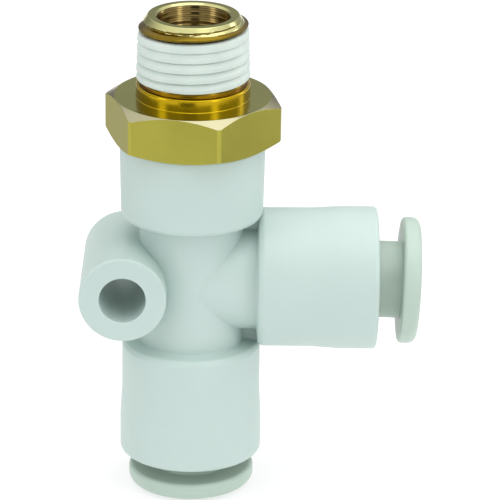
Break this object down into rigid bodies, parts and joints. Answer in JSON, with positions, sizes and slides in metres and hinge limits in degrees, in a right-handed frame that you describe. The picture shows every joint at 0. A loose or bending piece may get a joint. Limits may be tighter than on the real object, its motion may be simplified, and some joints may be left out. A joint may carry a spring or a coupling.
{
  "type": "push-in run tee fitting",
  "caption": "Push-in air fitting: a moulded run tee on a taper-threaded brass swivel stud, with a side tube port, a tube port in line, release buttons and a mounting boss.",
  "frame": {"origin": "on the stud's axis, in the plane of the hexagon's upper face, which is where the male thread starts to leave the part", "axes": "+Z along the stud's axis, towards the thread's free end; +X along the branch port's axis, out of the port; -Y is the side with the mounting boss's front face"},
  "size_m": [0.03, 0.0154, 0.0439],
  "materials": {
    "brass": "turned and milled brass, satin on the hexagon and bright on the turned ring",
    "sealant": "dry white thread sealant, matte",
    "body_resin": "white moulded engineering resin, satin",
    "button_resin": "white moulded acetal, satin",
    "inner_resin": "natural moulded resin",
    "nickel_plate": "nickel-plated turned ring",
    "stainless": "stainless spring steel",
    "rubber": "black nitrile rubber"
  },
  "bodies": {
    "stud": {"threaded_stud": "brass", "thread_sealant": "sealant", "swivel_o_ring": "rubber"},
    "tee": {"tee_body": "body_resin", "swivel_clip": "stainless", "branch_seal": "rubber", "branch_back_ring": "inner_resin", "branch_guide_ring": "nickel_plate", "run_seal": "rubber", "run_back_ring": "inner_resin", "run_guide_ring": "nickel_plate"},
    "branch_button": {"branch_release_button": "button_resin"},
    "branch_grip": {"branch_collet": "inner_resin", "branch_chuck": "stainless"},
    "run_button": {"run_release_button": "button_resin"},
    "run_grip": {"run_collet": "inner_resin", "run_chuck": "stainless"}
  },
  "joints": [
    {"name": "body_swivel", "type": "hinge", "parent": "stud", "child": "tee", "pos_m": [0, 0, 0], "axis": [0, 0, 1], "continuous": true},
    {"name": "branch_button_press", "type": "slide", "parent": "tee", "child": "branch_button", "axis": [-1, 0, 0], "range_m": [0, 0.0018], "stiffness_N_per_m": 400},
    {"name": "branch_grip_float", "type": "slide", "parent": "tee", "child": "branch_grip", "axis": [-1, 0, 0], "range_m": [0, 0.0005]},
    {"name": "run_button_press", "type": "slide", "parent": "tee", "child": "run_button", "axis": [0, 0, 1], "range_m": [-0.00055, 0.00125], "stiffness_N_per_m": 400},
    {"name": "run_grip_float", "type": "slide", "parent": "tee", "child": "run_grip", "axis": [0, 0, 1], "range_m": [-0.0002, 0.0003]}
  ],
  "couplings": [
    {"joint": "branch_grip_float", "follows": "branch_button_press", "ratio": 0.2},
    {"joint": "run_grip_float", "follows": "run_button_press", "ratio": 0.2}
  ]
}
